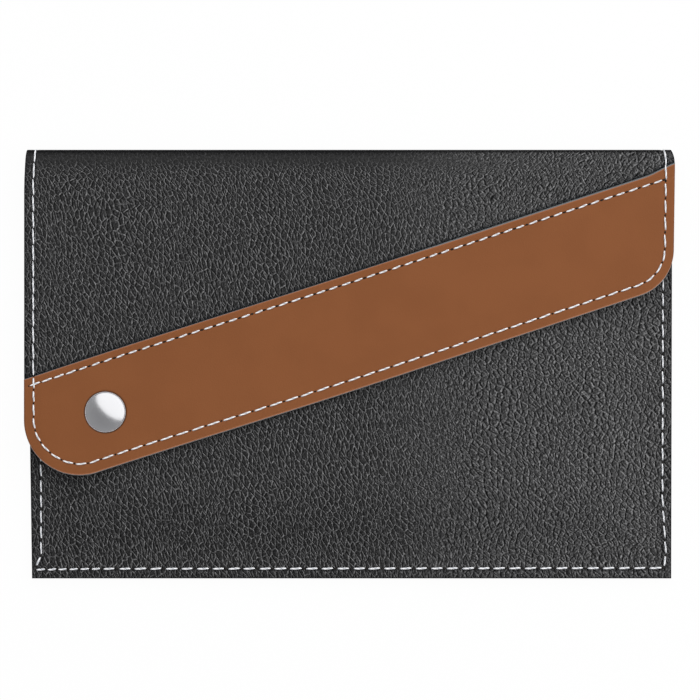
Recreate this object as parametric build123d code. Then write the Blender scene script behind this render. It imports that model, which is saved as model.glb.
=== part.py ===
from build123d import *
import os
from math import asin, cos, degrees, sin

# A document wallet: a sewn pouch, a flap that folds over its front, a diagonal band
# along the flap's end and a press stud that holds the flap shut.
# It lies on its back: +Z is up out of its front, +Y points to the fold, +X to the right.
# The origin is on the table, below the middle of the closed wallet. Millimetres.

# Plan of the wallet
flap_width = 240.0
wallet_height = 159.0
overhang_left = 2.3
overhang_right = 0.4
mouth_drop = 18.0

# Sheets
skin_thick = 1.0
lining_thick = 0.4
board_thick = 0.8
band_thick = 1.0
board_stop = 8.0
lining_ramp = 3.0

# Crowned front panel and the room above and below it
seam_margin = 5.0
slope_run = 15.0
flap_clearance = 0.6
room_under_post = 1.05

# Fold: its two halves meet at the hinge line on its outermost edge, this far apart
fold_gap = 0.1

# Diagonal band and the flap's outline, measured down from the fold line
band_drop_left = 80.3
band_drop_right = 0.8
band_depth = 42.9
band_bow = 0.7
flap_corner_left = 20.5
flap_corner_right = 18.0

# Seams
thread_thick = 0.6
thread_proud = 0.25
thread_sunk = 0.05
stitch_share = 0.8
pouch_stitch_inset = 3.4
flap_stitch_inset = 3.6
band_row_inset_left = 2.6
band_row_inset_right = 3.6
edge_pitch = 5.8
band_pitch = 4.8

# Press stud: cap and socket on the flap
stud_from_left = 30.1
cap_diameter = 15.0
cap_height = 2.2
cap_rim = 0.4
shank_diameter = 3.6
shank_clearance = 0.1
rivet_lip = 0.7
rivet_thick = 0.35
socket_wall = 2.8
socket_plate = 0.5
socket_lip = 0.35
lip_clearance = 0.15
spring_wire = 0.6
spring_clearance = 0.25
spring_play = 0.05
spring_opening = 40.0
chamber_clearance = 0.15

# Press stud: stud and post on the front panel
tube_diameter = 3.0
stud_wall = 0.6
snap_bite = 0.3
head_height = 0.7
stud_clearance = 0.2
stud_flange_diameter = 11.0
stud_flange = 0.5
post_diameter = 10.0
post_flange = 0.5
dimple_margin = 1.5
dimple_run = 9.0

# Press stud, worked out from the tube outwards and from the flap down
neck_diameter = tube_diameter + 2 * (shank_clearance + stud_wall)
spring_inner = neck_diameter + 2 * spring_clearance
head_diameter = spring_inner + 2 * snap_bite
lip_diameter = head_diameter + 2 * lip_clearance
chamber_diameter = spring_inner + 2 * (spring_wire + chamber_clearance)
socket_diameter = chamber_diameter + 2 * socket_wall
spring_room = spring_wire + spring_play
socket_height = socket_lip + spring_room + head_height + stud_clearance + rivet_thick + socket_plate
dimple_depth = socket_height + stud_clearance + stud_flange - flap_clearance
dimple_radius = max(stud_flange_diameter, socket_diameter) / 2 + dimple_margin

# Heights of the sheets, worked out from the table up
pocket_height = dimple_depth + post_flange + room_under_post
board_z = skin_thick
back_lining_z = board_z + board_thick
pocket_floor_z = back_lining_z + lining_thick
front_stack = lining_thick + skin_thick
seam_top_z = pocket_floor_z + front_stack
front_top_z = seam_top_z + pocket_height
dimple_floor_z = front_top_z - dimple_depth
flange_top_z = dimple_floor_z + stud_flange
flap_lining_z = front_top_z + flap_clearance
flap_skin_z = flap_lining_z + lining_thick
flap_top_z = flap_skin_z + skin_thick
band_top_z = flap_top_z + band_thick
socket_z = flap_lining_z - socket_height
head_z = socket_z + socket_lip + spring_room

# Fold: a half round as high as the flap's face, with one half on the back and one on the flap
fold_radius = flap_top_z / 2
fold_gap_angle = degrees(asin(fold_gap / 2 / fold_radius))
back_turn = (-90.0, -fold_gap_angle)
flap_turn = (fold_gap_angle, 90.0)

# Places up and across the page
bottom_y = -wallet_height / 2
fold_y = wallet_height / 2 - fold_radius
mouth_y = fold_y - mouth_drop
half_width = flap_width / 2
stud_x = -half_width + stud_from_left


def band_top_at(x):
    """How far up the page the band's upper edge is at x: its chord less the bow."""
    share = (x + half_width) / flap_width
    drop = band_drop_left + (band_drop_right - band_drop_left) * share
    return fold_y - drop - band_bow * 4 * share * (1 - share)


# The stud sits on the band's middle line
stud_y = band_top_at(stud_x) - band_depth / 2


def outline(points):
    """A face with these corners."""
    return make_face(Polyline(*points, close=True))


def across(face, width):
    """A solid with this (y, z) face as its side profile, centred on x."""
    return extrude(Plane.YZ * face, amount=width / 2, both=True)


def fold_sector(shallow, deep, start, end):
    """Part of the fold's side profile, between two depths below its outer face and two angles."""
    centre = (fold_y, fold_radius)
    outer = CenterArc(centre, fold_radius - shallow, start, end - start)
    inner = CenterArc(centre, fold_radius - deep, start, end - start)
    return make_face([outer, Line(outer @ 1, inner @ 1), inner, Line(inner @ 0, outer @ 0)])


def pouch_corners(inset, top):
    """The pouch's four plan corners, inset from its left, right and bottom edges."""
    taper = (top - bottom_y) / (fold_y - bottom_y)
    low = bottom_y + inset
    low_taper = inset / (fold_y - bottom_y)
    left = -half_width + overhang_left + inset
    right = half_width - overhang_right - inset
    return [
        (left - overhang_left * low_taper, low),
        (right + overhang_right * low_taper, low),
        (right + overhang_right * taper, top),
        (left - overhang_left * taper, top),
    ]


def pouch_face(inset, top):
    """The pouch's plan as a face, closed straight across at the given height up the page."""
    return outline(pouch_corners(inset, top))


def pouch_sheet(points, shallow, deep):
    """A sheet of the pouch's back, from its side profile, with its half of the fold."""
    flat = across(outline(points), flap_width) & extrude(pouch_face(0.0, fold_y), amount=flap_top_z)
    return flat + across(fold_sector(shallow, deep, *back_turn), flap_width)


def make_back_skin():
    """Grained outer sheet of the back, carried round the lower half of the fold."""
    points = [(bottom_y, 0.0), (fold_y, 0.0), (fold_y, skin_thick), (bottom_y, skin_thick)]
    return pouch_sheet(points, 0.0, skin_thick)


def make_back_board():
    """Stiffening board between the back's skin and its lining."""
    top = fold_y - board_stop
    return Pos(0, 0, board_z) * extrude(pouch_face(0.0, top), amount=board_thick)


def make_back_lining():
    """Lining of the back: flat on the board, down a ramp to the skin, then round with the fold."""
    top = fold_y - board_stop
    foot = top + lining_ramp
    points = [
        (bottom_y, back_lining_z),
        (top, back_lining_z),
        (foot, skin_thick),
        (fold_y, skin_thick),
        (fold_y, front_stack),
        (foot, front_stack),
        (top, pocket_floor_z),
        (bottom_y, pocket_floor_z),
    ]
    return pouch_sheet(points, skin_thick, front_stack)


def front_block():
    """Everything below the front panel's outer face: seam margin, crown and the stud's dimple."""
    margin = extrude(pouch_face(0.0, mouth_y), amount=seam_top_z)
    foot = Pos(0, 0, seam_top_z) * pouch_face(seam_margin, mouth_y)
    crest = Pos(0, 0, front_top_z) * pouch_face(seam_margin + slope_run, mouth_y)
    crown = loft([foot, crest], ruled=True)
    dimple = Cone(
        dimple_radius,
        dimple_radius + dimple_run,
        dimple_depth,
        align=(Align.CENTER, Align.CENTER, Align.MIN),
    )
    return margin + crown - Pos(stud_x, stud_y, dimple_floor_z) * dimple


def above_floor(solid):
    """The part of a front sheet that lies above the pocket's floor."""
    size = 2 * (flap_width + wallet_height)
    floor = Box(size, size, size, align=(Align.CENTER, Align.CENTER, Align.MAX))
    return solid - Pos(0, 0, pocket_floor_z) * floor


def stud_hole(z, thick, diameter):
    """A round tool on the stud's axis, for a hole through one sheet."""
    bottom = (Align.CENTER, Align.CENTER, Align.MIN)
    return Pos(stud_x, stud_y, z) * Cylinder(diameter / 2, thick, align=bottom)


def make_front_sheets():
    """The front panel's skin and its lining, each as thick as its sheet all over."""
    block = front_block()
    under_skin = Pos(0, 0, -skin_thick) * block
    under_lining = Pos(0, 0, -front_stack) * block
    hole = stud_hole(0.0, front_top_z, tube_diameter + 2 * shank_clearance)
    skin = above_floor(block - under_skin) - hole
    lining = above_floor(under_skin - under_lining) - hole
    return skin, lining


def band_line(drop_left, drop_right):
    """The bowed diagonal of the band, lowered by a drop at each end, as three points."""
    return [
        (-half_width, band_top_at(-half_width) - drop_left),
        (0.0, band_top_at(0.0) - (drop_left + drop_right) / 2),
        (half_width, band_top_at(half_width) - drop_right),
    ]


def upright(inset):
    """The drop straight down the page that moves the diagonal square to itself by inset."""
    rise = band_drop_left - band_drop_right
    return inset * (flap_width**2 + rise**2) ** 0.5 / flap_width


def flap_face(inset):
    """The flap's plan, moved in by inset: square sides, a bowed end and two rounded corners."""
    drop = band_depth - upright(inset)
    low = band_line(drop, drop)
    corners = [(-half_width, fold_y), (half_width, fold_y)]
    outline = [
        Line(corners[0], low[0]),
        ThreePointArc(*low),
        Line(low[2], corners[1]),
        Line(corners[1], corners[0]),
    ]
    face = make_face(outline) & Rectangle(flap_width - 2 * inset, 4 * wallet_height)
    left = face.vertices().group_by(Axis.X)[0].sort_by(Axis.Y)[0]
    face = fillet(left, flap_corner_left - inset)
    right = face.vertices().group_by(Axis.X)[-1].sort_by(Axis.Y)[0]
    return fillet(right, flap_corner_right - inset)


def make_flap_sheet(low, high):
    """A sheet of the flap between two heights, carried round the upper half of the fold."""
    flat = Pos(0, 0, low) * extrude(flap_face(0.0), amount=high - low)
    turn = across(fold_sector(flap_top_z - high, flap_top_z - low, *flap_turn), flap_width)
    return flat + turn - stud_hole(low, high - low, shank_diameter + 2 * shank_clearance)


def below_band_line():
    """Plan of everything on the flap that lies below the band's upper edge."""
    top = band_line(0.0, 0.0)
    low_y = top[0][1] - wallet_height
    return make_face(
        [
            ThreePointArc(*top),
            Line(top[2], (half_width, low_y)),
            Line((half_width, low_y), (-half_width, low_y)),
            Line((-half_width, low_y), top[0]),
        ]
    )


def make_band():
    """The smooth diagonal band on the flap's end."""
    plan = flap_face(0.0) & below_band_line()
    solid = Pos(0, 0, flap_top_z) * extrude(plan, amount=band_thick)
    return solid - stud_hole(flap_top_z, band_thick, shank_diameter + 2 * shank_clearance)


def stitch_loop(length, stack):
    """One loop of thread round a stack of sheets whose outer face is at height 0."""
    low = thread_sunk - stack
    bar = Box(length, thread_thick, thread_thick)
    leg = Box(thread_thick, thread_thick, thread_proud - low)
    reach = (length - thread_thick) / 2
    middle = (thread_proud + low) / 2
    bars = Pos(0, 0, thread_proud - thread_thick / 2) * bar + Pos(0, 0, low + thread_thick / 2) * bar
    return bars + Pos(-reach, 0, middle) * leg + Pos(reach, 0, middle) * leg


def stitch_row(points, stack):
    """Thread loops between neighbouring points on a sewn face, round the sheets below it."""
    ends = [(Vector(*a), Vector(*b)) for a, b in zip(points[:-1], points[1:])]
    length = stitch_share * min((b - a).length for a, b in ends)
    loop = stitch_loop(length, stack)
    placed = []
    for start, end in ends:
        run = end - start
        up = run.cross(Vector(0, 0, 1).cross(run))
        placed.append(Plane((start + end) * 0.5, x_dir=run, z_dir=up).location * loop)
    return placed


def points_along(path, pitch):
    """Evenly spaced points along a path, about one pitch apart."""
    count = max(1, round(path.length / pitch))
    return [tuple(path @ (i / count)) for i in range(count + 1)]


def level_row(start, end, z, stack):
    """A straight row of stitches on a level face."""
    return stitch_row(points_along(Line((*start, z), (*end, z)), edge_pitch), stack)


def make_pouch_seam():
    """Seam round the left, bottom and right of the pouch, through all its sheets."""
    low_left, low_right, high_right, high_left = pouch_corners(pouch_stitch_inset, mouth_y)
    runs = [(high_left, low_left), (low_left, low_right), (low_right, high_right)]
    rows = [level_row(a, b, seam_top_z, seam_top_z) for a, b in runs]
    return Compound(children=sum(rows, []))


def fold_loops(start, end):
    """A thread loop at each end of one half of the fold, sunk flush in its skin and its lining."""
    trim = (1 - stitch_share) / 2 * (end - start)
    first = start + trim
    last = end - trim
    low = front_stack - thread_sunk
    leg = degrees(thread_thick / fold_radius)
    profile = fold_sector(thread_sunk, thread_sunk + thread_thick, first, last)
    profile += fold_sector(low - thread_thick, low, first, last)
    profile += fold_sector(thread_sunk, low, first, first + leg)
    profile += fold_sector(thread_sunk, low, last - leg, last)
    loop = across(profile, thread_thick)
    side = half_width - flap_stitch_inset
    return [Pos(x, 0, 0) * loop for x in (-side, side)]


def make_back_edge_seam():
    """Rows on the back's bare edges, from the mouth to the lining's ramp, and over the fold."""
    low = pouch_corners(pouch_stitch_inset, mouth_y)
    high = pouch_corners(pouch_stitch_inset, fold_y - board_stop)
    rows = [level_row(low[i], high[i], pocket_floor_z, pocket_floor_z) for i in (2, 3)]
    return Compound(children=sum(rows, []) + fold_loops(*back_turn))


def make_mouth_seam():
    """Row along the front panel's free edge, over its crown from side to side."""
    y = mouth_y - pouch_stitch_inset
    foot = pouch_corners(seam_margin, y)
    crest = pouch_corners(seam_margin + slope_run, y)
    stops = [
        (foot[3][0], y, seam_top_z),
        (crest[3][0], y, front_top_z),
        (crest[2][0], y, front_top_z),
        (foot[2][0], y, seam_top_z),
    ]
    runs = [points_along(Line(a, b), edge_pitch) for a, b in zip(stops[:-1], stops[1:])]
    return Compound(children=sum([stitch_row(run, front_stack) for run in runs], []))


def flap_path(inset):
    """The path round the flap's free edge at an inset, from its left fold corner to its right."""
    edges = [e for e in flap_face(inset).edges() if (e @ 0.5).Y < fold_y - inset]
    return Wire(edges)


def make_flap_seams():
    """Seams round the flap's edge: over the fold and on the bare skin, and through the band."""
    points = points_along(flap_path(flap_stitch_inset), edge_pitch)
    bare = [(x, y, flap_top_z) for x, y, _ in points if x < 0 and y > band_top_at(x) + thread_thick]
    banded = [(x, y, band_top_z) for x, y, _ in points if y < band_top_at(x) - thread_thick]
    stack = flap_top_z - flap_lining_z
    return (
        Compound(children=stitch_row(bare, stack) + fold_loops(*flap_turn)),
        Compound(children=stitch_row(banded, stack + band_thick)),
    )


def make_band_top_seam():
    """Row along the band's upper edge, between the two side rows."""
    path = ThreePointArc(*band_line(upright(band_row_inset_left), upright(band_row_inset_right)))
    reach = half_width - flap_stitch_inset - thread_thick
    points = [(x, y, band_top_z) for x, y, _ in points_along(path, band_pitch) if abs(x) < reach]
    return Compound(children=stitch_row(points, band_top_z - flap_lining_z))


def turned(profile):
    """A round piece on the stud's axis, from its (radius, z) profile."""
    face = Plane.XZ * make_face(profile)
    return Pos(stud_x, stud_y, 0) * revolve(face, Axis.Z)


def turned_outline(points):
    """A round piece on the stud's axis, from straight profile points."""
    return turned(Polyline(*points, close=True))


def dome_arc(radius, low, high):
    """A round dome's profile, from its rim at radius up to its crown on the axis."""
    rise = high - low
    sphere = (radius**2 + rise**2) / (2 * rise)
    half = asin(radius / sphere) / 2
    middle = (sphere * sin(half), high - sphere * (1 - cos(half)))
    return ThreePointArc((radius, low), middle, (0.0, high))


def make_snap_cap():
    """Domed cap with its shank, riveted over inside the socket."""
    cap = cap_diameter / 2
    shank = shank_diameter / 2
    rivet = shank + rivet_lip
    rivet_top = flap_lining_z - socket_plate
    sides = Polyline(
        (0.0, band_top_z + cap_height),
        (0.0, rivet_top - rivet_thick),
        (rivet, rivet_top - rivet_thick),
        (rivet, rivet_top),
        (shank, rivet_top),
        (shank, band_top_z),
        (cap, band_top_z),
        (cap, band_top_z + cap_rim),
    )
    return turned([sides, dome_arc(cap, band_top_z + cap_rim, band_top_z + cap_height)])


def make_snap_socket():
    """Socket under the flap: a plate held by the cap's rivet and a chamber for the spring."""
    outer = socket_diameter / 2
    chamber = chamber_diameter / 2
    lip = lip_diameter / 2
    hole = shank_diameter / 2 + shank_clearance
    plate_z = flap_lining_z - socket_plate
    lip_top = socket_z + socket_lip
    return turned_outline(
        [
            (hole, flap_lining_z),
            (hole, plate_z),
            (chamber, plate_z),
            (chamber, lip_top),
            (lip, lip_top),
            (lip, socket_z),
            (outer, socket_z),
            (outer, flap_lining_z),
        ]
    )


def make_snap_spring():
    """Open ring of wire that grips the stud's neck."""
    radius = (spring_inner + spring_wire) / 2
    z = socket_z + socket_lip + spring_room / 2
    section = Plane.XZ * (Pos(radius, 0) * Circle(spring_wire / 2))
    ring = revolve(section, Axis.Z, revolution_arc=360.0 - spring_opening)
    return Pos(stud_x, stud_y, z) * ring


def make_snap_stud():
    """Stud on the front panel: flange, neck and a head that the spring closes behind."""
    neck = neck_diameter / 2
    head = head_diameter / 2
    bore = tube_diameter / 2 + shank_clearance
    top = head_z + head_height
    shoulder = head_height / 2
    return turned_outline(
        [
            (bore, dimple_floor_z),
            (stud_flange_diameter / 2, dimple_floor_z),
            (stud_flange_diameter / 2, flange_top_z),
            (neck, flange_top_z),
            (neck, head_z),
            (head, head_z + shoulder),
            (head - shoulder, top),
            (bore, top),
        ]
    )


def make_snap_post():
    """Post pressed through the front panel from inside the pocket into the stud."""
    tube = tube_diameter / 2
    flange_z = dimple_floor_z - front_stack
    top = head_z + head_height
    return turned_outline(
        [
            (0.0, flange_z - post_flange),
            (post_diameter / 2, flange_z - post_flange),
            (post_diameter / 2, flange_z),
            (tube, flange_z),
            (tube, top),
            (0.0, top),
        ]
    )


def make_nodes():
    """Every piece of the wallet, by name."""
    front_skin, front_lining = make_front_sheets()
    flap_edge_thread, band_edge_thread = make_flap_seams()
    return {
        "back_skin": make_back_skin(),
        "back_board": make_back_board(),
        "back_lining": make_back_lining(),
        "front_skin": front_skin,
        "front_lining": front_lining,
        "pouch_seam_thread": make_pouch_seam(),
        "back_edge_thread": make_back_edge_seam(),
        "mouth_thread": make_mouth_seam(),
        "flap_skin": make_flap_sheet(flap_skin_z, flap_top_z),
        "flap_lining": make_flap_sheet(flap_lining_z, flap_skin_z),
        "band": make_band(),
        "flap_edge_thread": flap_edge_thread,
        "band_edge_thread": band_edge_thread,
        "band_top_thread": make_band_top_seam(),
        "snap_cap": make_snap_cap(),
        "snap_socket": make_snap_socket(),
        "snap_spring": make_snap_spring(),
        "snap_stud": make_snap_stud(),
        "snap_post": make_snap_post(),
    }


def main():
    """Writes one STEP file for each piece."""
    os.makedirs("parts", exist_ok=True)
    for name, shape in make_nodes().items():
        export_step(shape, f"parts/{name}.step")


if __name__ == "__main__":
    main()
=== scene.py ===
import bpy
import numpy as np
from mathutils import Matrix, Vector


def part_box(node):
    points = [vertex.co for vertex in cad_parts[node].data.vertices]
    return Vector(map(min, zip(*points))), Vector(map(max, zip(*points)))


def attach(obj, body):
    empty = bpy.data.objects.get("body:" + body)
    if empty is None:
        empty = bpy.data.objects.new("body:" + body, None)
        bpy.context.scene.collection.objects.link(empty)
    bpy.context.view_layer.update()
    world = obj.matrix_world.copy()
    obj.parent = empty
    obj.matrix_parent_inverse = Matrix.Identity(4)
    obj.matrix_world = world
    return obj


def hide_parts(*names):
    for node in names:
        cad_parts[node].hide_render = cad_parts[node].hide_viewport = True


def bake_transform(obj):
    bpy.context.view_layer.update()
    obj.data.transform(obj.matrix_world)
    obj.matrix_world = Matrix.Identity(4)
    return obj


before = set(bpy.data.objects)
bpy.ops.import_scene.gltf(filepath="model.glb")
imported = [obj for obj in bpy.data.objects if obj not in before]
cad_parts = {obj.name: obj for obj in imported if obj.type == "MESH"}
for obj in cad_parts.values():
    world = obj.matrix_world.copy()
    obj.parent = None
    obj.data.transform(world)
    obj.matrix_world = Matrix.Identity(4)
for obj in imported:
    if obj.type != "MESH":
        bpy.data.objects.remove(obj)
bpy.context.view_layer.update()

# %% [markdown]
# # A document wallet, rebuilt from one photograph
# The wallet lies on its back under a camera that looks straight down. The CAD part gives the sizes
# and the hinge. This script gives each sheet, seam and stud its looks, in the same frame.

MM = 0.001


def cad_mm(node):
    """The lowest and highest corner of a CAD node, in millimetres."""
    low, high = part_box(node)
    return np.array(low) / MM, np.array(high) / MM


# %% [markdown]
# ## Sizes
# Heights and outer edges are read from the CAD nodes, so that the looks sit where the solids are.
# The band's two ends, its depth and the flap's corner radii were measured in the photograph.

# %% Sizes in millimetres
back_low, back_high = cad_mm("back_skin")
cap_low, cap_high = cad_mm("snap_cap")
flap_high, front_high, band_high = (cad_mm(node)[1] for node in ("flap_skin", "front_skin", "band"))

HALF = back_high[0]
BOTTOM = back_low[1]
FLAP_TOP = flap_high[2]
FOLD_RADIUS = FLAP_TOP / 2
FOLD_Y = back_high[1] - FOLD_RADIUS
MOUTH = front_high[1]
PLATEAU = front_high[2]
BAND_TOP = band_high[2]
CAP_X = (cap_low[0] + cap_high[0]) / 2
CAP_Y = (cap_low[1] + cap_high[1]) / 2
CAP_RADIUS = (cap_high[0] - cap_low[0]) / 2
CAP_TOP = cap_high[2]

SKIN = 1.0
LINING = 0.4
BOARD = 0.8
SEAM_TOP = 3.6
OVERHANG_LEFT = 2.3
OVERHANG_RIGHT = 0.4
BAND_LEFT_Y = FOLD_Y - 80.3
BAND_RIGHT_Y = FOLD_Y - 0.8
BAND_DEPTH = 43.35
BAND_WIDENS = 0.35
BAND_RISE = 0.25
BAND_DIP = 0.85
DIP_FROM = 0.1
DIP_OVER = 0.44
BAND_FLICK = 1.4
FLICK_RUN = 11.0
CORNER_LEFT = 20.5
CORNER_RIGHT = 18.0
print(f"flap {2 * HALF:.1f} mm wide, fold radius {FOLD_RADIUS:.2f} mm, cap at {CAP_X:.1f}, {CAP_Y:.1f}")

# %% [markdown]
# ## Outlines
# The flap's end is a diagonal between two rounded corners, with a slight dip past its first third.
# Each column of a sheet runs from that end up to the fold, so the outline is one height for each x.
# The distance from the edge is worked out exactly, because the rounded rims and seams follow it.


# %% Outline of the flap and the band
def smooth(share):
    """A smooth step from 0 to 1."""
    t = np.clip(share, 0, 1)
    return t * t * (3 - 2 * t)


def flap_share(x):
    """How far across the flap x is: 0 at its left side and 1 at its right side."""
    return (x + HALF) / (2 * HALF)


def across_flap(left, right, x):
    """A value at x that changes evenly from the flap's left side to its right side."""
    return left + (right - left) * flap_share(x)


def steep(slope):
    """How much longer a sloping line is than its run across."""
    return np.sqrt(1 + slope**2)


def band_dip(x):
    """The share of the dip that is reached at x."""
    return smooth((flap_share(x) - DIP_FROM) / DIP_OVER)


def band_line_at(x):
    """The line that the band's rows and edges follow: straight between its ends, less a smooth dip."""
    return across_flap(BAND_LEFT_Y, BAND_RIGHT_Y, x) + BAND_RISE - BAND_DIP * band_dip(x)


def band_top_at(x):
    """The band's upper edge: that line, turned up at its right end."""
    return band_line_at(x) + BAND_FLICK * smooth((x - HALF) / FLICK_RUN + 1)


def band_low_at(x):
    """The band's lower edge before its corners are rounded, which dips a little more."""
    return band_line_at(x) - BAND_DEPTH - BAND_WIDENS * band_dip(x)


def band_slope(x, step=0.1):
    """The slope of the band's line at x, from its heights a step to either side."""
    return (band_line_at(x + step) - band_line_at(x - step)) / (2 * step)


def corner_circle(side, radius):
    """Centre and slope of the round corner at one side, tangent to that side and to the diagonal."""
    x = side * (HALF - radius)
    slope = band_slope(x)
    y = band_low_at(x) + radius * steep(slope)
    return x, y, slope, radius


CORNERS = [corner_circle(-1, CORNER_LEFT), corner_circle(1, CORNER_RIGHT)]


def flap_end_at(x):
    """The flap's lower outline: the diagonal, with a circle at each end."""
    y = band_low_at(x)
    for side, (cx, cy, slope, radius) in zip((-1, 1), CORNERS):
        tangent = cx + radius * slope / steep(slope)
        inside = (x - tangent) * side > 0
        arc = cy - np.sqrt(np.maximum(radius**2 - (x - cx) ** 2, 0))
        y = np.where(inside, arc, y)
    return y


def flap_inset(x, y):
    """The distance in from the flap's free outline: the least of its sides, its end and its corners."""
    low = (y - band_low_at(x)) / steep(band_slope(x))
    inset = np.minimum(np.minimum(HALF - x, HALF + x), low)
    for side, (cx, cy, slope, radius) in zip((-1, 1), CORNERS):
        down = -(y - cy) * steep(slope)
        out = side * (x - cx) - side * down * slope / steep(slope)
        corner = radius - np.hypot(x - cx, y - cy)
        inset = np.where((down > 0) & (out > 0), corner, inset)
    return np.maximum(inset, 0)


print("flap corners at", [tuple(np.round(c[:2], 1)) for c in CORNERS])


# %% Outline of the pouch
def pouch_taper(y):
    """How far up the pouch y is: 0 at its bottom edge and 1 at the fold."""
    return np.clip((y - BOTTOM) / (FOLD_Y - BOTTOM), 0, 1)


def pouch_x(x, y):
    """The flap's x moved in to the pouch, which is a little narrower towards its bottom edge."""
    share = flap_share(x)
    narrow = 1 - pouch_taper(y)
    return x + narrow * (OVERHANG_LEFT * (1 - share) - OVERHANG_RIGHT * share)


def pouch_inset(x, y):
    """The distance in from the pouch's left, right and bottom edges."""
    left = x - pouch_x(np.full_like(x, -HALF), y)
    right = pouch_x(np.full_like(x, HALF), y) - x
    return np.maximum(np.minimum(np.minimum(left, right), y - BOTTOM), 0)


# %% [markdown]
# ## Surfaces
# Each sheet is a closed slab: an outer and an inner grid of points that share their outermost ring.
# Grid lines crowd near the edges, where the rim is rounded and the seam presses a groove.

# %% Grid lines and meshes
RIM = 0.35
RIM_LINES = RIM * (1 - np.cos(np.radians([0, 15, 32, 50, 70, 90])))
# Start, end and step of each stretch of lines behind the rim
STRETCHES = ((0.7, 2.3, 0.5), (2.4, 5.1, 0.27), (5.5, 12, 1.3))
EDGE_LINES = np.concatenate([RIM_LINES, *(np.arange(*stretch) for stretch in STRETCHES)])
SEAM_DEEP = 5.3
SEAM_LINES = EDGE_LINES[EDGE_LINES < SEAM_DEEP]
EDGE_DEEP = 12.8
CORNER_DEEP = 30.0
FINE_STEP = 1.4
COARSE_STEP = 3.0


def spaced(start, end, step):
    """Evenly spaced values from start to end, with both ends, at most one step apart."""
    return np.linspace(start, end, int(np.ceil(abs(end - start) / step)) + 1)


def columns():
    """The x of each grid column: crowded at both edges, fine round the corners, coarse between."""
    edge = np.concatenate([EDGE_LINES, spaced(EDGE_DEEP, CORNER_DEEP, FINE_STEP)])
    middle = spaced(-HALF + CORNER_DEEP, HALF - CORNER_DEEP, COARSE_STEP)[1:-1]
    return np.concatenate([-HALF + edge, middle, HALF - edge[::-1]])


def rim_share(inset, rim=RIM):
    """A rounded rim: 0 at the edge, 1 from one rim radius in, along a quarter circle."""
    return np.sqrt(np.maximum(1 - (1 - np.clip(inset / rim, 0, 1)) ** 2, 0))


def new_object(name, points, faces, uv=None, values=None):
    """A mesh object from points in millimetres, with a UV in metres and named point values."""
    mesh = bpy.data.meshes.new(name)
    mesh.from_pydata((np.asarray(points) * MM).tolist(), [], [list(f) for f in faces])
    loops = np.zeros(len(mesh.loops), np.int32)
    mesh.loops.foreach_get("vertex_index", loops)
    if uv is not None:
        layer = mesh.uv_layers.new(name="sheet")
        layer.data.foreach_set("uv", (np.asarray(uv)[loops] * MM).astype(np.float32).ravel())
    for key, value in (values or {}).items():
        made = mesh.attributes.new(key, "FLOAT", "POINT")
        made.data.foreach_set("value", np.asarray(value, np.float32))
    mesh.polygons.foreach_set("use_smooth", np.ones(len(mesh.polygons), bool))
    mesh.update()
    obj = bpy.data.objects.new(name, mesh)
    bpy.context.scene.collection.objects.link(obj)
    return obj


def grid_faces(index):
    """The quads of a grid of point numbers, or of several grids in one array."""
    corners = [index[..., :-1, :-1], index[..., :-1, 1:], index[..., 1:, 1:], index[..., 1:, :-1]]
    return np.stack(corners, -1).reshape(-1, 4)


def volume(points, quads):
    """The signed volume inside quads: a sixth of the sum of their triangles' triple products."""
    a, b, c, d = (points[quads[:, k]] for k in range(4))
    triples = [np.einsum("ij,ij->i", a, np.cross(*pair)) for pair in ((b, c), (c, d))]
    return sum(triples).sum() / 6


def slab(name, outer, inner, uv, inset, values=None):
    """A closed slab from an outer and an inner grid that share their outermost ring of points."""
    rows, cols = outer.shape[:2]
    ring = np.ones((rows, cols), bool)
    ring[1:-1, 1:-1] = False
    top = np.arange(rows * cols).reshape(rows, cols)
    low = top.copy()
    low[~ring] = rows * cols + np.arange((~ring).sum())
    points = np.concatenate([outer.reshape(-1, 3), inner[~ring]])
    quads = np.concatenate([grid_faces(top), grid_faces(low)[:, ::-1]])
    if volume(points, quads) < 0:
        quads = quads[:, ::-1]
    flat_uv = np.concatenate([uv.reshape(-1, 2), uv[~ring]])
    values = {"inset": inset, **(values or {})}
    kept = {key: np.concatenate([value.ravel(), value[~ring]]) for key, value in values.items()}
    obj = new_object(name, points, quads, flat_uv, kept)
    print(f"{name}: {len(points)} points, {len(quads)} quads")
    return obj


def flat_area(uv):
    """The area of a grid laid out flat by its UV, in square metres."""
    a, b, c, d = uv[:-1, :-1], uv[:-1, 1:], uv[1:, 1:], uv[1:, :-1]
    p, q = c - a, d - b
    return float(abs(p[..., 0] * q[..., 1] - p[..., 1] * q[..., 0]).sum() / 2 * MM**2)


# %% [markdown]
# ## The cover
# Back, fold and flap are one sheet of leathercloth. Its path runs up the back, round the fold and
# down the flap. A point is placed by its distance along that path and its depth below the outer
# face, so the lining inside it can use the same path at another depth.

# %% The cover's path
BACK_RUN = FOLD_Y - BOTTOM
FOLD_RUN = np.pi * FOLD_RADIUS
FOLD_END = BACK_RUN + FOLD_RUN
FOLD_MIDDLE = BACK_RUN + FOLD_RUN / 2
PULL = 0.65
PULL_LEFT_RUN = 18.0
PULL_RIGHT_RUN = 8.5
LEAN = 0.3
LEAN_FROM = 50.0
LEAN_RUN = 22.0
LEAN_IN = 0.4
BACK_GAP = 3.0
FOLD_LEAD = 1.5
FOLD_TAIL = 0.3
FOLD_STEP = 0.7
UPPER_ROWS = 31
UNDER_ROWS = 12


def lean(x, y):
    """How far the flap's right side leans out: a little at the fold, and a little in further down."""
    return LEAN * np.clip((y - LEAN_FROM) / LEAN_RUN, -LEAN_IN, 1) * smooth(2 * x / HALF - 1)


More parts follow.
